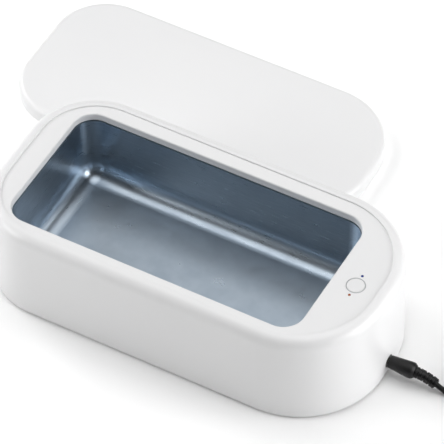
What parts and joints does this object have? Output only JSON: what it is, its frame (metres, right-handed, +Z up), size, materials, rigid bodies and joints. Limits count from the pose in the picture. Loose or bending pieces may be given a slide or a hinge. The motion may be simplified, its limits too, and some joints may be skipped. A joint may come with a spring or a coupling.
{
  "type": "ultrasonic cleaner",
  "caption": "Compact oblong ultrasonic cleaner with a deep steel tank, a button between two lights, a loose lid lying beside it and a coiled plug-in power lead.",
  "frame": {"origin": "middle of the floor area that the housing and its lid cover, on the surface they stand on", "axes": "+X along the housing's long side towards the controls, +Y towards the lid, +Z up"},
  "size_m": [0.362, 0.2082, 0.0576],
  "materials": {
    "white_abs": "gloss",
    "base_abs": "satin",
    "stainless": "satin",
    "silicone": "matte",
    "foot_rubber": "matte",
    "zinc_steel": "satin",
    "epoxy": "matte",
    "piezo": "matte",
    "circuit_board": "satin",
    "ferrite": "matte",
    "copper_winding": "satin",
    "black_abs": "satin",
    "film_case": "gloss",
    "capacitor_sleeve": "gloss",
    "aluminium_fins": "satin",
    "nickel": "polished",
    "blue_lens": "gloss",
    "red_lens": "gloss",
    "wire_insulation": "satin",
    "ribbon_grey": "satin",
    "black_pvc": "satin",
    "button_white": "gloss"
  },
  "bodies": {
    "cleaner": {"housing": "white_abs", "base_cover": "base_abs", "feet": "foot_rubber", "base_screws": "zinc_steel", "tank": "stainless", "tank_seal": "silicone", "tank_clamps": "zinc_steel", "clamp_screws": "zinc_steel", "piezo_bond": "epoxy", "piezo_disc": "piezo", "main_board": "circuit_board", "board_screws": "zinc_steel", "transformer_core": "ferrite", "transformer_coil": "copper_winding", "capacitors": "capacitor_sleeve", "film_capacitor": "film_case", "heat_sink": "aluminium_fins", "power_transistor": "black_abs", "transistor_screw": "zinc_steel", "driver_chip": "black_abs", "switch_board": "circuit_board", "switch_board_screws": "zinc_steel", "tact_switch": "black_abs", "button_ring": "base_abs", "blue_led": "blue_lens", "blue_light_pipe": "blue_lens", "red_led": "red_lens", "red_light_pipe": "red_lens", "power_jack": "black_abs", "jack_pin": "nickel", "jack_terminals": "nickel", "piezo_leads": "wire_insulation", "jack_leads": "wire_insulation", "switch_ribbon": "ribbon_grey"},
    "button": {"power_button": "button_white", "switch_plunger": "black_abs"},
    "lid": {"lid": "white_abs"},
    "power_lead": {"plug_body": "black_pvc", "plug_barrel": "nickel", "plug_insulator": "black_abs", "plug_relief": "black_pvc", "lead_cable": "black_pvc", "lead_coil": "black_pvc", "coil_ties": "black_abs", "lead_tail": "black_pvc", "adapter_relief": "black_pvc", "adapter_case": "black_abs", "adapter_cover": "black_abs", "adapter_blades": "nickel", "adapter_board": "circuit_board", "adapter_transformer": "ferrite"}
  },
  "joints": [
    {"name": "button_press", "type": "slide", "parent": "cleaner", "child": "button", "axis": [0, 0, -1], "range_m": [0, 0.0005], "stiffness_N_per_m": 600, "springref_m": -0.0005},
    {"name": "lid_lift", "type": "slide", "parent": "cleaner", "child": "lid", "axis": [0, 0, 1], "range_m": [0, 0.12]},
    {"name": "plug_pull", "type": "slide", "parent": "cleaner", "child": "power_lead", "axis": [1, 0, 0], "range_m": [0, 0.012]}
  ]
}
